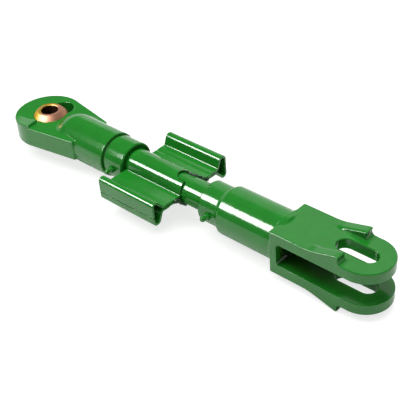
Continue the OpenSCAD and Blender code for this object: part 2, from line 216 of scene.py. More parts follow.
def rounded(corners, radii, steps=6):
    """A closed outline through these corners, each turned into an arc of its radius, and the outline's
    normals. On an arc both come from the arc's centre. Twice the area is the sum of each corner crossed with
    the next one. It is positive for an outline that runs anticlockwise, so its sign points the normals
    outwards."""
    corners, radii = np.array(corners, float), np.broadcast_to(np.array(radii, float), len(corners))
    before, after = np.roll(corners, 1, 0) - corners, np.roll(corners, -1, 0) - corners
    before /= np.linalg.norm(before, axis=1)[:, None]
    after /= np.linalg.norm(after, axis=1)[:, None]
    half = np.arccos(np.clip((before * after).sum(1), -1, 1)) / 2
    turn = np.sign(before[:, 0] * after[:, 1] - before[:, 1] * after[:, 0])
    middle = before + after
    middle /= np.maximum(np.linalg.norm(middle, axis=1), 1e-9)[:, None]
    centre = corners + middle * (radii / np.sin(half))[:, None]
    share = np.linspace(-1, 1, steps)[None, :] * (math.pi / 2 - half)[:, None] * turn[:, None] * -1
    back = -middle[:, None, :]
    out = np.stack([back[..., 0] * np.cos(share) - back[..., 1] * np.sin(share),
                    back[..., 0] * np.sin(share) + back[..., 1] * np.cos(share)], -1)
    points = centre[:, None, :] + out * radii[:, None, None]
    ahead = np.roll(corners, -1, 0)
    area = (corners[:, 0] * ahead[:, 1] - corners[:, 1] * ahead[:, 0]).sum()
    normals = out * -turn[:, None, None] * np.sign(area)
    return points.reshape(-1, 2), normals.reshape(-1, 2)


def turned(name, outline, axis="x", turns=144):
    """A closed outline of (along, radius) carried round an axis, with its normals."""
    points, normals = outline
    angle = np.linspace(0, 2 * math.pi, turns, endpoint=False)
    ring = np.stack([np.cos(angle), np.sin(angle)], -1)

    def carried(p):
        """Each (along, r) at every angle: along, r times its cosine, r times its sine."""
        along = np.broadcast_to(p[:, None, 0], (len(p), turns))
        u, v = p[:, 1, None] * ring[:, 0], p[:, 1, None] * ring[:, 1]
        return np.stack([along, u, v] if axis == "x" else [u, v, along], -1).reshape(-1, 3)

    count = len(points)
    i, j = np.meshgrid(np.arange(count), np.arange(turns), indexing="ij")
    ahead, beside = (i + 1) % count, (j + 1) % turns
    faces = np.stack([i * turns + j, i * turns + beside, ahead * turns + beside, ahead * turns + j], -1)
    at, facing = carried(points), carried(normals)
    first = faces.reshape(-1, 4)[0]
    flat = np.cross(at[first[1]] - at[first[0]], at[first[2]] - at[first[0]])
    if flat @ facing[first].sum(0) < 0:
        faces = faces[..., ::-1]
    return solid(name, at, faces.reshape(-1, 4).tolist(), facing)


def zinc():
    """Yellow passivated zinc plate: a metal whose colour runs from gold to pink over about 20 mm. Fine
    turning marks lie round the bore, drawn 0.5 mm apart, coarser than real, so that they show."""
    material = bpy.data.materials.new("yellow_passivated_zinc")
    material.use_nodes = True
    tree = material.node_tree
    shader = tree.nodes["Principled BSDF"]
    place = add(tree, "ShaderNodeTexCoord").outputs["Object"]
    parts = add(tree, "ShaderNodeSeparateXYZ", {"Vector": place})
    cloud = add(tree, "ShaderNodeTexNoise", {"Vector": place, "Scale": 1000 / 20, "Detail": 3.0})
    across = add(tree, "ShaderNodeMath", {0: parts.outputs["X"], 1: 1000 / 50}, operation="MULTIPLY")
    up = add(tree, "ShaderNodeMath", {0: parts.outputs["Z"], 1: 1000 / 26, 2: across.outputs[0]},
             operation="MULTIPLY_ADD")
    drift = add(tree, "ShaderNodeMath", {0: cloud.outputs["Fac"], 1: 1.5, 2: up.outputs[0]},
                operation="MULTIPLY_ADD")
    span = add(tree, "ShaderNodeMapRange", {"Value": drift.outputs[0], "From Max": 2.0})
    ramp = add(tree, "ShaderNodeValToRGB", {"Fac": span.outputs["Result"]})
    bands = ((1.05, "#b08c26"), (1.3, "#cba843"), (1.5, "#c99a70"), (1.75, "#c08c72"))
    ramp.color_ramp.elements.remove(ramp.color_ramp.elements[0])
    for k, (at, colour) in enumerate(bands):
        stop = ramp.color_ramp.elements[0] if k == 0 else ramp.color_ramp.elements.new(at / 2)
        stop.position = at / 2
        stop.color = linear(colour)
    distance = add(tree, "ShaderNodeVectorMath", {0: place, 1: (1.0, 1.0, 0.35)}, operation="MULTIPLY")
    length = add(tree, "ShaderNodeVectorMath", {0: distance.outputs[0]}, operation="LENGTH")
    mark_gap = 0.5
    marks = add(tree, "ShaderNodeMath", {0: length.outputs["Value"], 1: 2 * math.pi * 1000 / mark_gap},
                operation="MULTIPLY")
    wave = add(tree, "ShaderNodeMath", {0: marks.outputs[0]}, operation="SINE")
    bump = add(tree, "ShaderNodeBump", {"Height": wave.outputs[0], "Strength": 0.25, "Distance": 0.000004})
    tree.links.new(ramp.outputs["Color"], shader.inputs["Base Color"])
    tree.links.new(bump.outputs["Normal"], shader.inputs["Normal"])
    shader.inputs["Metallic"].default_value = 1.0
    shader.inputs["Roughness"].default_value = 0.55
    return material


def metal(name, colour, roughness, grain_mm):
    """A bare metal with a machined surface: faint brushed grain, grain_mm across, that varies its gloss."""
    material = bpy.data.materials.new(name)
    material.use_nodes = True
    tree = material.node_tree
    shader = tree.nodes["Principled BSDF"]
    place = add(tree, "ShaderNodeTexCoord").outputs["Object"]
    grain = add(tree, "ShaderNodeTexNoise", {"Vector": place, "Scale": 1000 / grain_mm, "Detail": 2.0})
    gloss = add(tree, "ShaderNodeMapRange", {"Value": grain.outputs["Fac"], "To Min": roughness - 0.08,
                                             "To Max": roughness + 0.08})
    bump = add(tree, "ShaderNodeBump", {"Height": grain.outputs["Fac"], "Strength": 0.3,
                                        "Distance": 0.00001})
    tree.links.new(gloss.outputs["Result"], shader.inputs["Roughness"])
    tree.links.new(bump.outputs["Normal"], shader.inputs["Normal"])
    shader.inputs["Base Color"].default_value = linear(colour)
    shader.inputs["Metallic"].default_value = 1.0
    return material


# The sphere's outline stops just short of the flat faces, and a face's rounded rim takes over there.
ball_r, half_width, pin_bore = 28.5, 22.5, 12.75
lift = np.linspace(-1, 1, 41) * math.asin(half_width / ball_r) * 0.985
sphere = np.stack([ball_r * np.sin(lift), ball_r * np.cos(lift)], -1)
flat_r = math.sqrt(ball_r ** 2 - half_width ** 2)
corners = [(half_width, flat_r + 0.1), (half_width, pin_bore + 1), (half_width - 1, pin_bore),
           (1 - half_width, pin_bore), (-half_width, pin_bore + 1), (-half_width, flat_r + 0.1)]
face, face_out = rounded(corners, [0.1, 0.5, 0.4, 0.4, 0.5, 0.1])
ball = turned("plated_ball", (np.concatenate([sphere, face[3:-3]]),
                              np.concatenate([sphere / ball_r, face_out[3:-3]])), axis="z")
# The pin bore's faces get a dark brownish metal: painted shade for the inside of the narrow hole.
ball.data.materials.append(zinc())
ball.data.materials.append(metal("bore_metal_with_painted_shade", "#4a3424", 0.5, 1.5))
bore_end = (pin_bore + 0.45) * 0.001
painted_shade_in_bore = [max(math.hypot(*ball.data.vertices[v].co[:2]) for v in side.vertices) < bore_end
           for side in ball.data.polygons]
ball.data.polygons.foreach_set("material_index", np.array(painted_shade_in_bore, np.int32))
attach(ball, "ball")
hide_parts("swivel_ball")

# Thrust washers and bushes: turned bearing bronze, plain rings on either side of the spindle's head, in the
# collar and in the neck. They are inside the link, so the CAD rings stay, with bronze's finish.


def finish_cad(node, material):
    """Gives a CAD node's own object a material."""
    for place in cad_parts[node].material_slots:
        place.material = material


bearing_bronze = metal("turned_bearing_bronze", "#c08a4e", 0.32, 1.2)
for ring in ("thrust_washer_front", "thrust_washer_rear", "collar_bush", "neck_guide_bush"):
    finish_cad(ring, bearing_bronze)

# Seal rings: moulded nitrile rubber, one squeezed between boss and collar and one in the neck's mouth.
# Rubber is nearly black and has a dull sheen. The black of the ring between boss and collar is also
# painted shade for the groove there.


def rubber():
    """Nitrile rubber, IOR 1.52, with a moulded surface grain of about 0.6 mm."""
    material = bpy.data.materials.new("moulded_nitrile_rubber")
    material.use_nodes = True
    tree = material.node_tree
    shader = tree.nodes["Principled BSDF"]
    place = add(tree, "ShaderNodeTexCoord").outputs["Object"]
    grain = add(tree, "ShaderNodeTexNoise", {"Vector": place, "Scale": 1000 / 0.6, "Detail": 2.0})
    bump = add(tree, "ShaderNodeBump", {"Height": grain.outputs["Fac"], "Strength": 0.4,
                                        "Distance": 0.00003})
    tree.links.new(bump.outputs["Normal"], shader.inputs["Normal"])
    shader.inputs["Base Color"].default_value = linear("#12190f")
    shader.inputs["Roughness"].default_value = 0.55
    shader.inputs["IOR"].default_value = 1.52
    return material


nitrile = rubber()
seal_start, seal_end, seal_r = 141.42, 143.48, 27.8
seal = turned("collar_lip_seal", rounded([(seal_start, 24), (seal_end, 24), (seal_end, seal_r),
                                          (seal_start, seal_r)], 0.7))
seal.data.materials.append(nitrile)
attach(seal, "eye")
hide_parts("collar_seal_ring")
finish_cad("neck_wiper_seal", nitrile)

# Retaining collar: turned steel, screwed into the boss to hold the spindle's head, and painted with the rest.
# Its edges are chamfered by the tool, so they catch the light as thin lines.

# The same enamel on smooth turned steel: flatter, so reflections in it are sharper.
turned_enamel = enamel("stoved_enamel_on_turned_steel", green, thin_green, 30, 0.05, 0.09)
throat_r, screw_r, rim_r, collar_r, mouth_r = 22.02, 23.98, 28.7, 29.9, 19.6
collar = turned("screwed_collar", rounded(
    [(110, throat_r), (110, screw_r), (143.5, screw_r), (143.5, rim_r), (145.5, rim_r), (146.9, collar_r),
     (177.1, collar_r), (178.5, 28.5), (178.5, 26.6), (176.6, 25.8), (176.6, mouth_r), (175, mouth_r),
     (175, throat_r)],
    [0.3, 0.3, 0.3, 0.5, 0.5, 0.6, 0.7, 0.6, 0.4, 0.4, 0.5, 0.3, 0.3]))
collar.data.materials.append(turned_enamel)
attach(collar, "eye")
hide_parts("retaining_collar")

# Grease fittings: cold-headed steel nipples with a hexagon, screwed in and painted over, so their edges are
# soft. Each holds a check ball on a coil spring.


def fitting_distance(x0, r):
    """A hexagonal prism and a waisted nipple on one axis along -Y, less the drilling along that axis. Out
    is the height above the wall of radius r that the fitting is screwed into."""
    half_flats, nut_middle, half_nut = 4.9, 2.4, 2.1
    nipple_middle, half_nipple, drill_r, drill_foot = 3.6, 8.55, 0.8, 3

    def distance(x, y, z):
        out, u, v = -y - r, x - x0, z
        across = np.hypot(u, v)
        hexagon = np.maximum(np.abs(u * 0.5 + v * 0.866), np.abs(u * 0.5 - v * 0.866))
        hexagon = np.maximum(np.abs(u), hexagon) - half_flats
        nut = both(hexagon, np.abs(out - nut_middle) - half_nut, 0.8)
        waist = np.interp(out, [-5, 4.5, 7.0, 8.6, 10.2, 12.2], [2.48, 3.5, 2.7, 3.8, 3.7, 2.3])
        nipple = both((across - waist) * 0.9, np.abs(out - nipple_middle) - half_nipple, 0.6)
        bore = np.maximum(across - drill_r, drill_foot - out)
        return both(either(nut, nipple, 0.7), -bore, 0.2)

    return distance


def spring_wire(x0, r, shank):
    """Points of a 0.5 mm wire along a helix: its middle lies 1 mm from the fitting's axis, and turns 6 times
    round it on the way along the spring."""
    turns, sides = np.linspace(0, 6, 145), np.linspace(0, 2 * math.pi, 8, endpoint=False)
    angle = 2 * math.pi * turns[:, None]
    out = 1 - shank + 0.3 + (turns[:, None] / 6) * (shank + 6.1)
    reach = 1.0 + 0.25 * np.cos(sides)
    return np.stack([x0 + reach * np.cos(angle), -r - out - 0.25 * np.sin(sides), reach * np.sin(angle)], -1)


def tubes(name, grids, sharp=180):
    """An object of closed tubes. Each is a grid of points in mm, rows along it and columns round it, with a
    flat face at each end. Normals are turned outwards, and edges of more than sharp degrees stay sharp."""
    faces, first = [], 0
    for grid in grids:
        rows, columns = grid.shape[:2]
        i, j = np.meshgrid(np.arange(rows - 1), np.arange(columns), indexing="ij")
        beside = (j + 1) % columns
        sides = np.stack([i * columns + j, i * columns + beside, (i + 1) * columns + beside,
                          (i + 1) * columns + j], -1)
        ends = np.stack([np.arange(columns)[::-1], (rows - 1) * columns + np.arange(columns)])
        faces += (sides.reshape(-1, 4) + first).tolist() + (ends + first).tolist()
        first += rows * columns
    made = solid(name, np.concatenate([grid.reshape(-1, 3) for grid in grids]), faces)
    work = bmesh.new()
    work.from_mesh(made.data)
    bmesh.ops.recalc_face_normals(work, faces=work.faces)
    work.to_mesh(made.data)
    work.free()
    made.data.set_sharp_from_angle(angle=math.radians(sharp))
    return made


# Spring and ball steel: grey, with a film of grease.
oiled_steel = metal("oiled_spring_steel", "#8e9194", 0.3, 0.8)
neck_r, neck_fitting_x = 28.2, 336.0
for place, body, x0, r, shank in (("collar", "eye", 161.0, collar_r, 5.0),
                                  ("neck", "fork", neck_fitting_x, neck_r, 4.96)):
    nipple = skin(f"{place}_grease_nipple", fitting_distance(x0, r), (x0 - 5.8, -r - 13, -5.8),
                  (x0 + 5.8, -r + 5, 5.8), 0.36)
    nipple.data.materials.append(turned_enamel)
    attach(nipple, body)
    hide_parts(f"{place}_grease_fitting")
    coil = tubes(f"{place}_check_spring", [spring_wire(x0, r, shank)])
    coil.data.materials.append(oiled_steel)
    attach(coil, body)
    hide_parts(f"{place}_fitting_spring")
    finish_cad(f"{place}_fitting_ball", oiled_steel)

# Adjusting spindle: a turned steel bar with a head that the collar holds, a plain shaft and a rolled thread
# of 6 mm lead. Only its shaft shows, until the fork is screwed outwards.

step_x = [84, 84.8, 105.2, 106, 328.8, 330, 429, 429.1, 431.4, 431.5, 432.6, 434]
step_r = [21.8, 22.6, 22.6, 19.2, 19.2, 18, 18, 16.4, 16.4, 18, 18, 16.6]
lead, groove_depth, thread_start, thread_end = 6, 3, 332, 427


def spindle_radius(x, angle):
    """The bar's radius: its turned steps, less a trapezoid groove that winds round it once in 6 mm. The
    groove's depth grows and dies away over one turn at each end."""
    wound = (x / lead - angle / (2 * math.pi)) % 1
    groove = np.clip((0.34 - np.abs(wound - 0.5)) / 0.14, 0, 1)
    fade = np.clip((x - thread_start) / lead, 0, 1) * np.clip((thread_end - x) / lead, 0, 1)
    return np.interp(x, step_x, step_r) - groove_depth * groove * fade


x = np.unique(np.concatenate([step_x, np.linspace(106, 328, 12), np.arange(331, 428.6, 0.5)]))
angle = np.linspace(0, 2 * math.pi, 112, endpoint=False)
r = spindle_radius(x[:, None], angle[None, :])
bar = np.stack([np.broadcast_to(x[:, None], r.shape), r * np.cos(angle), r * np.sin(angle)], -1)
spindle = tubes("screwed_spindle", [bar], 35)
spindle.data.materials.append(turned_enamel)
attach(spindle, "screw")
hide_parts("adjusting_spindle")
finish_cad("spindle_stop_ring", oiled_steel)

# Handle: two equal stampings pressed from 3.3 mm steel sheet, one turned over on the other. Each has a saddle
# that hugs the spindle, a flat web on either side and an edge rolled up into half of a hollow bead.

sheet, left, right = 3.3, 181.0, 281.4
wing_y, seam, half_gap, stand_off = 70.0, 5.2, 0.5, 0.06
saddle_bore, edge_r, wall_edge_r = 19.28, 0.7, 0.3
cut_r, cut_depth = 9.5, 8.4


def arc(centre, r, start, end, steps):
    """Points of an arc and the directions from its centre, from one angle to another in degrees."""
    a = np.radians(np.linspace(start, end, steps))
    out = np.stack([np.cos(a), np.sin(a)], -1)
    return np.array(centre) + r * out, out


def half_line(wall_end, bead_z, bead_r, tilt, crease):
    """The middle line of half a stamping in the Y-Z plane, its normals, how far each side stands off it and
    how far each side's normal leans towards the wall's end. The line goes up the outer wall, over the bead,
    down its inner side, round the valley, along the web and up the fillet onto the saddle. The inner side
    touches the bead's arc and the valley's arc, and stands tilt degrees off upright. The web bows up by a
    bell curve and has a pressed crease, crease mm deep. The outer side thins by 1.2 mm where the saddle is
    drawn down."""
    valley_r, fillet_r, web_z, thinned = 5.0, 2.4, sheet / 2, 1.2
    saddle_r = saddle_bore + sheet / 2
    bead = np.array([bead_r - wing_y, bead_z - bead_r])
    tilt_cos, tilt_sin = math.cos(math.radians(tilt)), math.sin(math.radians(tilt))
    side = bead[0] * tilt_cos + bead[1] * tilt_sin + bead_r
    valley_y = (side + valley_r - (web_z + valley_r) * tilt_sin) / tilt_cos
    valley = np.array([valley_y, web_z + valley_r])
    fillet = np.array([-math.sqrt((saddle_r + fillet_r) ** 2 - (web_z + fillet_r) ** 2), web_z + fillet_r])
    lean = math.degrees(math.atan(-fillet[1] / fillet[0]))
    edge_lean = np.radians([90, 65, 40, 15])
    wall_z = np.concatenate([wall_end + wall_edge_r * (1 - np.sin(edge_lean)),
                             np.linspace(wall_end + 1, bead[1], 6)[:-1]])
    parts = [(np.stack([0 * wall_z - wing_y, wall_z], -1), np.tile([-1.0, 0.0], (len(wall_z), 1)))]
    parts.append(arc(bead, bead_r, 180, tilt, 19))
    points, out = arc(valley, valley_r, 180 + tilt, 270, 11)
    parts.append((points, -out))
    y = np.linspace(valley[0], fillet[0], 48)[1:-1]
    bend = 0.5 * np.exp(-((y + 45) / 8) ** 2) - crease * np.exp(-((y + 38.5) / 1.7) ** 2)
    parts.append((np.stack([y, web_z + bend], -1), np.stack([-np.gradient(bend, y), np.ones_like(y)], -1)))
    fillet_steps, saddle_steps = 9, 60
    points, out = arc(fillet, fillet_r, 270, 360 - lean, fillet_steps)
    parts.append((points, -out))
    parts.append(arc((0, 0), saddle_r, 180 - lean - 2, 90, saddle_steps))
    points, normals = (np.concatenate(p) for p in zip(*parts))
    normals /= np.linalg.norm(normals, axis=1)[:, None]
    end_lean = np.concatenate([edge_lean, np.zeros(len(points) - len(edge_lean))])
    stand = sheet / 2 - wall_edge_r * (1 - np.cos(end_lean))
    on_saddle = np.arange(len(points)) >= len(points) - saddle_steps
    round_saddle = np.degrees(np.arctan2(points[:, 1], points[:, 0]))
    thin = np.interp(round_saddle, [136, 166], [0, thinned]) * on_saddle
    thin[-saddle_steps - fillet_steps:-saddle_steps] = np.linspace(0, thinned, fillet_steps)
    gaps = np.maximum(np.linalg.norm(np.diff(points, axis=0), axis=1), 1e-6)
    along = np.concatenate([[0], np.cumsum(gaps)])
    ahead = np.stack([normals[:, 1], -normals[:, 0]], -1)
    outer = normals + np.gradient(thin, along)[:, None] * ahead
    return points, normals, stand, end_lean, stand - thin, outer / np.linalg.norm(outer, axis=1)[:, None]


def stamping(name, turned_over):
    """The sheet's outline in the Y-Z plane carried along X. Its edge at each end is a quarter round: inset by
    edge_r times 1 less the cosine of its lean, and stepped back by edge_r times 1 less the sine. The right
    end follows the round-ended notch in the saddle. The notch's sheared edge on the +Y side wavers: a point
    near it is turned round the spindle by a sum of two sines of its X."""
    near = half_line(half_gap - seam, 15.2, 4.6, 42, 0.0)
    far = half_line(half_gap + seam, 17.0, 5.6, 22, 0.9)
    split = len(near[0])
    line, out, stand, end_lean, outer_stand, outer = (
        np.concatenate([a, (b * [-1, 1] if b.ndim == 2 else b)[::-1][1:]]) for a, b in zip(near, far))

    # The saddle's crown is laid out anew, with close points at both edges of the notch.
    saddle_r = saddle_bore + sheet / 2
    close = np.linspace(-0.02, 0.02, 7)
    crown = np.sort(np.concatenate([close - cut_r, close + cut_r, np.linspace(0.1 - cut_r, cut_r - 0.1, 31)]))
    middle = np.stack([crown, np.sqrt(saddle_r ** 2 - crown ** 2)], -1)
    keep = (line[:, 1] < 12) | (np.abs(line[:, 0]) > cut_r + 0.1)
    before, after = keep.copy(), keep.copy()
    before[split:] = False
    after[:split] = False

    def joined(values, between):
        """Values along the line, with the crown's own in place of those between the two halves."""
        return np.concatenate([values[before], between, values[after]])

    flat = np.full(len(crown), sheet / 2)
    line, out, outer = joined(line, middle), joined(out, middle / saddle_r), joined(outer, middle / saddle_r)
    stand, outer_stand, end_lean = joined(stand, flat), joined(outer_stand, flat), joined(end_lean, 0 * flat)

    # Where the right end lies for each point of the outline, and which way the edge there faces.
    y, on_top = line[:, 0], line[:, 1] > 15
    reach = np.full(len(y), right)
    inside = on_top & (np.abs(y) < cut_r)
    reach[inside] = right - cut_depth - np.sqrt(cut_r ** 2 - y[inside] ** 2)
    rim = on_top & (np.abs(np.abs(y) - cut_r) <= 0.021)
    reach[rim] = right - cut_depth * np.clip((cut_r + 0.02 - np.abs(y[rim])) / 0.04, 0, 1)
    reach = np.concatenate([reach, reach[::-1]])
    count = len(line)
    size = 2 * count
    section = np.concatenate([line + outer_stand[:, None] * out, (line - stand[:, None] * out)[::-1]])
    down, bend = np.array([0.0, -1.0]), end_lean[:, None]
    facing = np.concatenate([np.cos(bend) * outer + np.sin(bend) * down,
                             (-np.cos(bend) * out + np.sin(bend) * down)[::-1]])
    facing = np.concatenate([np.zeros((size, 1)), facing], 1)
    corners = [0, count - 1, count, size - 1]
    tangent = np.stack([np.roll(reach, -1) - np.roll(reach, 1),
                        *(np.roll(section, -1, 0) - np.roll(section, 1, 0)).T], -1)
    tangent[corners] = [0, 1, 0]
    edge_out = np.cross(facing, tangent)
    edge_out /= np.maximum(np.linalg.norm(edge_out, axis=1), 1e-9)[:, None]
    edge_out *= np.sign(edge_out[:, :1] + 1e-6)
    edge_out[corners] = [1, 0, 0]

    # Rows along X: the left edge's quarter round, the last 21 mm in even shares, the right edge's round.
    rows, normals = [], []
    for lean in np.radians([90, 60, 30, 0]):
        x = np.full((size, 1), left + edge_r * (1 - math.sin(lean)))
        rows.append(np.concatenate([x, section - edge_r * (1 - math.cos(lean)) * facing[:, 1:]], 1))
        normals.append(math.cos(lean) * facing - math.sin(lean) * np.array([1, 0, 0]))
    straight_end = right - 21.0
    for share in np.linspace(0, 1, 22)[:-1]:
        x = straight_end + share * (reach - edge_r - straight_end)
        rows.append(np.concatenate([x[:, None], section], 1))
        normals.append(facing)
    for lean in np.radians([0, 30, 60, 90]):
        inset = section - edge_r * (1 - math.cos(lean)) * facing[:, 1:]
        rows.append(np.concatenate([reach[:, None], inset], 1) - edge_r * (1 - math.sin(lean)) * edge_out)
        normals.append(math.cos(lean) * facing + math.sin(lean) * edge_out)
    at, facing = np.stack(rows), np.stack(normals)

    x, y, z = np.moveaxis(at, -1, 0)
    r = np.hypot(y, z)
    near_edge = np.exp(-((y - cut_r) / 2.4) ** 2) * (z > 12) * np.clip((x - right + 12) / 4, 0, 1)
    waver = 0.6 * np.sin(x * 1.9 + 0.6) + 0.35 * np.sin(x * 3.3 + 3.0)
    turn = near_edge * (waver - 0.5 * (r - 19.2)) / r
    at = np.stack([x, y * np.cos(turn) + z * np.sin(turn), z * np.cos(turn) - y * np.sin(turn)], -1)

    i, j = np.meshgrid(np.arange(len(rows) - 1), np.arange(size), indexing="ij")
    beside = (j + 1) % size
    faces = np.stack([(i + 1) * size + j, (i + 1) * size + beside, i * size + beside, i * size + j], -1)
    k = np.arange(count - 1)
    left_cap = np.stack([k + 1, size - 2 - k, size - 1 - k, k], -1)
    right_cap = np.stack([size - 1 - k, size - 2 - k, k + 1, k], -1) + (len(rows) - 1) * size
    faces = np.concatenate([faces.reshape(-1, 4), left_cap, right_cap]).tolist()
    side = np.array([1, -1, -1] if turned_over else [1, 1, 1])
    made = solid(name, (at.reshape(-1, 3) + [0, 0, stand_off]) * side, faces, facing.reshape(-1, 3) * side)

    # The notch's sheared faces: those near it that face across the spindle's radius. They take the dark
    # enamel, painted shade.
    middle = np.array([face.center for face in made.data.polygons]) * 1000
    flat = np.array([face.normal for face in made.data.polygons])
    sheared = (middle[:, 0] > right - 19) & (np.abs(middle[:, 1]) < 21) & (np.abs(middle[:, 2]) > 8)
    outwards = (flat[:, 1:] * middle[:, 1:]).sum(1) / np.hypot(middle[:, 1], middle[:, 2])
    made.data.polygons.foreach_set("material_index", (sheared & (np.abs(outwards) < 0.6)).astype(np.int32))
    return made


# Dark, dull enamel: its dark green is painted shade on the notch's sheared faces and on the weld beads.
painted_shade_enamel = enamel("dark_enamel_painted_shade_at_notch_and_weld", "#0d3a12", "#0a240c", 3, 0.10, 0.38)
# On the flat pressed sheet it is as smooth as on turned steel.
pressed_enamel = enamel("stoved_enamel_on_pressed_sheet", green, thin_green, 24, 0.06, 0.09)
for name, turned_over, node in (("upper_handle_sheet", False, "handle_upper_stamping"),
                                ("lower_handle_sheet", True, "handle_lower_stamping")):
    sheet_part = stamping(name, turned_over)
    sheet_part.data.materials.append(pressed_enamel)
    sheet_part.data.materials.append(painted_shade_enamel)
    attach(sheet_part, "screw")
    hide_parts(node)

# Weld beads: arc-welded fillets that hold both saddles to the spindle at the webs' roots. Each run is a
# string of overlapping half-moons, about 2.4 mm apart, rough under the paint. Their dark enamel is painted
# shade.


def weld_run(side):
    """Points of a lumpy tube carried from the web's end face round its root onto the spindle. Its middle is
    a curve in the Y-Z plane. Its radius swells and shrinks as |sin|, once for each ripple, and is small at
    the ends."""
    weld_x, bead_size, ripples = 281.9, 3.1, 7
    along, round_it = np.linspace(0, 1, 141), np.linspace(0, 2 * math.pi, 18, endpoint=False)
    knots = np.linspace(0, 1, 5)
    y = np.interp(along, knots, [-33.0, -28.0, -24.0, -21.2, -18.6])
    z = np.interp(along, knots, [0.6, -1.2, -2.8, -6.2, -10.6])
    soft = np.exp(-np.linspace(-2, 2, 25) ** 2)
    y, z = (np.convolve(np.pad(v, 12, mode="reflect", reflect_type="odd"), soft / soft.sum(), "valid")
            for v in (y, z))
    way = np.stack([np.gradient(y), np.gradient(z)], -1)
    way /= np.linalg.norm(way, axis=1)[:, None]
    swell = 0.74 + 0.30 * np.abs(np.sin(along * math.pi * ripples)) + 0.12 * np.sin(along * 37 + 1.3)
    small_end = 0.25 + 0.75 * np.minimum(1, 5 * np.sqrt(np.clip(along * (1 - along), 0, 1)))
    r = bead_size * swell * small_end
    out = r[:, None] * np.sin(round_it)
    at = np.stack([weld_x + 0.9 * r[:, None] * np.cos(round_it), y[:, None] - way[:, 1:] * out,
                   z[:, None] + way[:, :1] * out], -1)
    return at * [1, side, side]


weld = tubes("root_weld", [weld_run(side) for side in (1, -1)], 50)
weld.data.materials.append(painted_shade_enamel)
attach(weld, "screw")
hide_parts("handle_weld_beads")

# Fork forging: carbon steel, drop-forged in one with its neck, then bored, tapped and milled for the slots.
# Its edges are soft and its forms run into each other. Wedge-shaped lugs stand on the ears.

profile_x = [300, 347.2, 348.8, 352.6, 354.2, 356, 447.5, 449.5, 452.5, 462]
profile_r = [neck_r, neck_r, 28.8, 32.4, 33.2, 33.4, 33.4, 32.8, 30.2, 29.4]
bore_x = [300, 346.9, 347.1, 348.9, 349.1, 386.4, 386.6, 460]
bore_r = [22.02, 22.02, 19.8, 19.8, 21.3, 21.3, 20.5, 20.5]
neck_end, block_x, ear_x, ear_r, ear_z = 319, 442, 557, 35.6, 30.8
gap_x, gap_z, slot_x, slot_half, slot_r = 453, 15.8, 545, 16.5, 11.5
pin_turn, pin_notch_x = math.radians(108), 320.4


def fork_distance(x, y, z):
    """The neck and body, turned about X, filled to a block with a round end. Added: a wedge on each ear's
    edge. Its top is a plane that climbs along X, crowned by a parabola, and its end is hollowed by a circle.
    Taken away: the gap between the ears, their slots, the bores, the fitting's drilling and the pin's
    notch."""
    across, up, radius = np.abs(y), np.abs(z), np.hypot(y, z)
    body = (radius - np.interp(x, profile_x, profile_r)) * 0.93
    body = both(both(body, neck_end - x, 1.1), x - 464, 1)
    outline = np.where(x > ear_x, np.hypot(x - ear_x, across), across) - ear_r
    outline = both(outline, block_x - x, 2.5)
    crown = 0.072 * np.maximum(25.6 - across, 0) ** 2
    rise = (up - ear_z) * 0.964 - (x - 500) * 0.265 + 0.8 * crown
    wedge = both(rise, 21.0 - across, 0.7)
    wedge = both(both(wedge, up - 41.6, 0.8), (x - 543) * 0.8 + (up - 39.8) * 0.6, 0.5)
    hollow = np.hypot(x - 547.6, up - 36.6) - 6
    lug = both(np.where(x > 540, np.maximum(wedge, np.minimum(-hollow, 8)), wedge), x - 549, 0.6)
    block = both(outline, either(up - ear_z, lug, np.where(x > 541, 1.0, 2.2)), 1.3)
    forging = either(block, body, np.interp(x, [443, 447], [4.0, 1.2]))
    forging = both(forging, -both(gap_x - x, up - gap_z, 5), 0.6)
    slot = np.hypot(np.maximum(np.abs(x - slot_x) - slot_half, 0), y) - slot_r
    forging = both(forging, -slot, 1.0)
    forging = both(forging, -np.maximum(radius - np.interp(x, bore_x, bore_r), x - 454), 0.5)
    drilling = np.maximum(np.hypot(x - neck_fitting_x, z) - 2.5, y)
    pin_out = math.cos(pin_turn) * y + math.sin(pin_turn) * z
    pin_side = math.cos(pin_turn) * z - math.sin(pin_turn) * y
    pin_notch = np.maximum(np.hypot(x - pin_notch_x, pin_side * 0.8) - 3.1, 26.0 - pin_out)
    return both(both(forging, -drilling, 0.2), -pin_notch, 0.5)


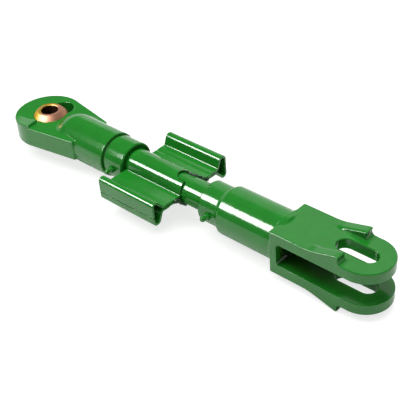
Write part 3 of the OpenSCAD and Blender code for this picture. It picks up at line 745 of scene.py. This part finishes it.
def gap_enamel_with_painted_shade():
    """The forging's enamel, mixed towards a brownish black between the ears: painted shade inside the gap.
    How dark it is there is a product of ramps: one that starts at the gap's faces, one from the ears' edges
    inwards, one from their round end towards the body, and one that ends at the gap's end."""
    material = enamel("stoved_enamel_with_painted_shade_inside_gap", green, thin_green, 13, 0.11, 0.13)
    tree = material.node_tree
    shader = tree.nodes["Principled BSDF"]
    place = add(tree, "ShaderNodeSeparateXYZ", {"Vector": add(tree, "ShaderNodeTexCoord").outputs["Object"]})
    across = add(tree, "ShaderNodeMath", {0: place.outputs["Y"]}, operation="ABSOLUTE")
    up = add(tree, "ShaderNodeMath", {0: place.outputs["Z"]}, operation="ABSOLUTE")
    # How far the colour goes to brownish black: painted shade inside the gap.
    bare = 0.9
    for value, start, end, least in (
            (up.outputs[0], 0.0162, 0.0156, 0.0), (across.outputs[0], 0.036, 0.02, 0.0),
            (place.outputs["X"], 0.583, 0.50, 0.3), (place.outputs["X"], 0.4515, 0.4525, 0.0)):
        ramp = add(tree, "ShaderNodeMapRange", {"Value": value, "From Min": start, "From Max": end,
                                                "To Min": least})
        bare = add(tree, "ShaderNodeMath", {0: bare, 1: ramp.outputs["Result"]},
                   operation="MULTIPLY").outputs[0]
    film = shader.inputs["Base Color"].links[0].from_socket
    colour = add(tree, "ShaderNodeMix", {"Factor": bare}, data_type="RGBA")
    tree.links.new(film, colour.inputs["A"])
    colour.inputs["B"].default_value = linear("#241e0e")
    tree.links.new(colour.outputs["Result"], shader.inputs["Base Color"])
    return material


fork = skin("forged_fork", fork_distance, (319, -36, -42), (593, 36, 42), 1.1)
fork.data.materials.append(gap_enamel_with_painted_shade())
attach(fork, "fork")
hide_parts("clevis_fork")

# Stop pin: a short steel dowel pressed in at the bottom of a small notch in the neck's rim.

pin_r, pin_foot, pin_top, pin_x = 1.6, 22.1, 25.9, 321.1
pin = turned("rim_pin", rounded([(pin_foot, 0.05), (pin_foot, pin_r), (pin_top, pin_r), (pin_top, 0.05)],
                                [0.02, 0.3, 0.3, 0.02]), turns=32)
pin_way = (math.cos(pin_turn), math.sin(pin_turn))
pin.data.transform(Matrix(((0, 0, 1, pin_x * 0.001), (pin_way[0], -pin_way[1], 0, 0),
                           (pin_way[1], pin_way[0], 0, 0), (0, 0, 0, 1))))
pin.data.materials.append(turned_enamel)
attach(pin, "fork")
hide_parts("neck_stop_pin")

# Studio: a white floor that keeps the link's shadow, white walls, a soft light overhead and a softbox in
# front on the left, which gives the long highlight.

floor_mesh = bpy.data.meshes.new("studio_floor")
half_floor, floor_z = 6.0, -0.0419
floor_corners = ((-1, -1), (1, -1), (1, 1), (-1, 1))
floor_mesh.from_pydata([(x * half_floor, y * half_floor, floor_z) for x, y in floor_corners], [],
                       [(0, 1, 2, 3)])
floor = bpy.data.objects.new("studio_floor", floor_mesh)
bpy.context.scene.collection.objects.link(floor)
# Matt white paper. It glows a little for the camera, which makes it white beside the shadow.
paper = bpy.data.materials.new("white_seamless_paper")
paper.use_nodes = True
tree = paper.node_tree
shader = tree.nodes["Principled BSDF"]
shader.inputs["Roughness"].default_value = 0.9
shader.inputs["Specular IOR Level"].default_value = 0.0
shader.inputs["Emission Color"].default_value = (1, 1, 1, 1)
path = add(tree, "ShaderNodeLightPath")
seen = add(tree, "ShaderNodeMath", {0: path.outputs["Is Camera Ray"], 1: path.outputs["Is Transmission Ray"]},
           operation="MAXIMUM")
direct = add(tree, "ShaderNodeMath", {0: seen.outputs[0], 1: 0.75}, operation="MULTIPLY")
glow = add(tree, "ShaderNodeMath", {0: path.outputs["Is Glossy Ray"], 1: 0.1, 2: direct.outputs[0]},
           operation="MULTIPLY_ADD")
tree.links.new(glow.outputs[0], shader.inputs["Emission Strength"])
white = add(tree, "ShaderNodeMapRange", {"Value": seen.outputs[0], "To Min": 0.88, "To Max": 0.42})
tree.links.new(white.outputs["Result"], shader.inputs["Base Color"])
floor.data.materials.append(paper)

# The camera sees white walls. Gloss mirrors bright walls behind and, dimmer, on the right, up to a top edge
# that dips at both sides, and dark grey elsewhere. All other light from the walls comes from high up.
world = bpy.data.worlds.new("studio_walls")
bpy.context.scene.world = world
world.use_nodes = True
tree = world.node_tree
background = tree.nodes["Background"]
path = add(tree, "ShaderNodeLightPath")
way = add(tree, "ShaderNodeSeparateXYZ", {"Vector": add(tree, "ShaderNodeTexCoord").outputs["Generated"]})
top_left = add(tree, "ShaderNodeMapRange", {"Value": way.outputs["X"], "From Min": -0.62, "From Max": -0.58,
                                            "To Min": 0.42, "To Max": 0.75})
top_right = add(tree, "ShaderNodeMapRange", {"Value": way.outputs["X"], "From Min": 0.1, "From Max": 0.35,
                                             "To Min": 0.75, "To Max": 0.4})
top = add(tree, "ShaderNodeMath", {0: top_left.outputs["Result"], 1: top_right.outputs["Result"]},
          operation="MINIMUM")
over = add(tree, "ShaderNodeMath", {0: way.outputs["Z"], 1: top.outputs[0]}, operation="SUBTRACT")
low_wall = add(tree, "ShaderNodeMapRange", {"Value": over.outputs[0], "From Min": -0.05, "From Max": 0.05,
                                            "To Min": 1.0, "To Max": 0.0})
behind = add(tree, "ShaderNodeMapRange", {"Value": way.outputs["Y"], "From Min": -0.15, "From Max": 0.1})
aside = add(tree, "ShaderNodeMapRange", {"Value": way.outputs["X"], "From Min": -0.1, "From Max": 0.3,
                                         "To Min": 0.0, "To Max": 0.6})
wall = add(tree, "ShaderNodeMath", {0: behind.outputs["Result"], 1: aside.outputs["Result"]},
           operation="MAXIMUM")
wall = add(tree, "ShaderNodeMath", {0: wall.outputs[0], 1: low_wall.outputs["Result"]}, operation="MULTIPLY")
wall = add(tree, "ShaderNodeMapRange", {"Value": wall.outputs[0], "To Min": 0.16, "To Max": 0.9})
glossy = add(tree, "ShaderNodeMath", {0: path.outputs["Is Glossy Ray"], 1: wall.outputs["Result"]},
             operation="MULTIPLY")
plain = add(tree, "ShaderNodeMath", {0: path.outputs["Is Camera Ray"],
                                     1: path.outputs["Is Transmission Ray"]}, operation="MAXIMUM")
seen = add(tree, "ShaderNodeMath", {0: plain.outputs[0], 1: path.outputs["Is Glossy Ray"]},
           operation="MAXIMUM")
shown = add(tree, "ShaderNodeMath", {0: plain.outputs[0], 1: glossy.outputs[0]}, operation="MAXIMUM")
fill = add(tree, "ShaderNodeMath", {0: 1.0, 1: seen.outputs[0]}, operation="SUBTRACT")
front = add(tree, "ShaderNodeMapRange", {"Value": way.outputs["Z"], "From Min": 0.45, "From Max": 0.8,
                                         "To Min": 0.02, "To Max": 0.9})
strength = add(tree, "ShaderNodeMath", {0: fill.outputs[0], 1: front.outputs["Result"], 2: shown.outputs[0]},
               operation="MULTIPLY_ADD")
tree.links.new(strength.outputs[0], background.inputs["Strength"])
background.inputs["Color"].default_value = (1, 1, 1, 1)


def lamp(name, place, aim, width, height, watts):
    """A rectangular softbox at place, turned to aim, its width level."""
    light = bpy.data.lights.new(name, "AREA")
    light.shape = "RECTANGLE"
    light.size, light.size_y, light.energy = width, height, watts
    made = bpy.data.objects.new(name, light)
    bpy.context.scene.collection.objects.link(made)
    back = np.array(place, float) - np.array(aim, float)
    back /= np.linalg.norm(back)
    side = np.cross([0, 0, 1], back) if abs(back[2]) < 0.99 else np.array([1.0, 0, 0])
    side /= np.linalg.norm(side)
    rise = np.cross(back, side)
    made.matrix_world = Matrix([[side[k], rise[k], back[k], place[k]] for k in range(3)] + [[0, 0, 0, 1]])
    return made


overhead = lamp("overhead_softbox", (0.25, 0.15, 1.5), (0.27, 0.0, 0.0), 1.3, 1.3, 18.5)
overhead.visible_glossy = False
strip = lamp("front_softbox", (-0.2225, -0.61, 0.59), (-0.2225, 0.0, 0.0), 0.565, 0.40, 17.9)
strip.visible_diffuse = False
spread = lamp("front_softbox_spread", (-0.23, -0.61, 1.05), (0.1, 0.0, 0.0), 0.5, 0.4, 5.0)
spread.visible_glossy = False

# Camera: the photograph's place and angle, found from the link's own straight and round edges.

camera_place = np.array([1.01210, -0.71579, 0.74079])
camera_right = np.array([0.74352, 0.66608, -0.05927])
camera_down = np.array([0.36773, -0.48128, -0.79571])
camera_forward = np.array([-0.55853, 0.56983, -0.60278])
camera = bpy.data.objects.new("camera", bpy.data.cameras.new("camera"))
bpy.context.scene.collection.objects.link(camera)
camera.data.lens = 82.7
camera.data.sensor_width = 36.0
camera.data.clip_end = 50.0
camera.matrix_world = Matrix([[camera_right[k], -camera_down[k], -camera_forward[k], camera_place[k]]
                              for k in range(3)] + [[0, 0, 0, 1]])
bpy.context.scene.camera = camera
bpy.context.scene.view_settings.view_transform = "Standard"
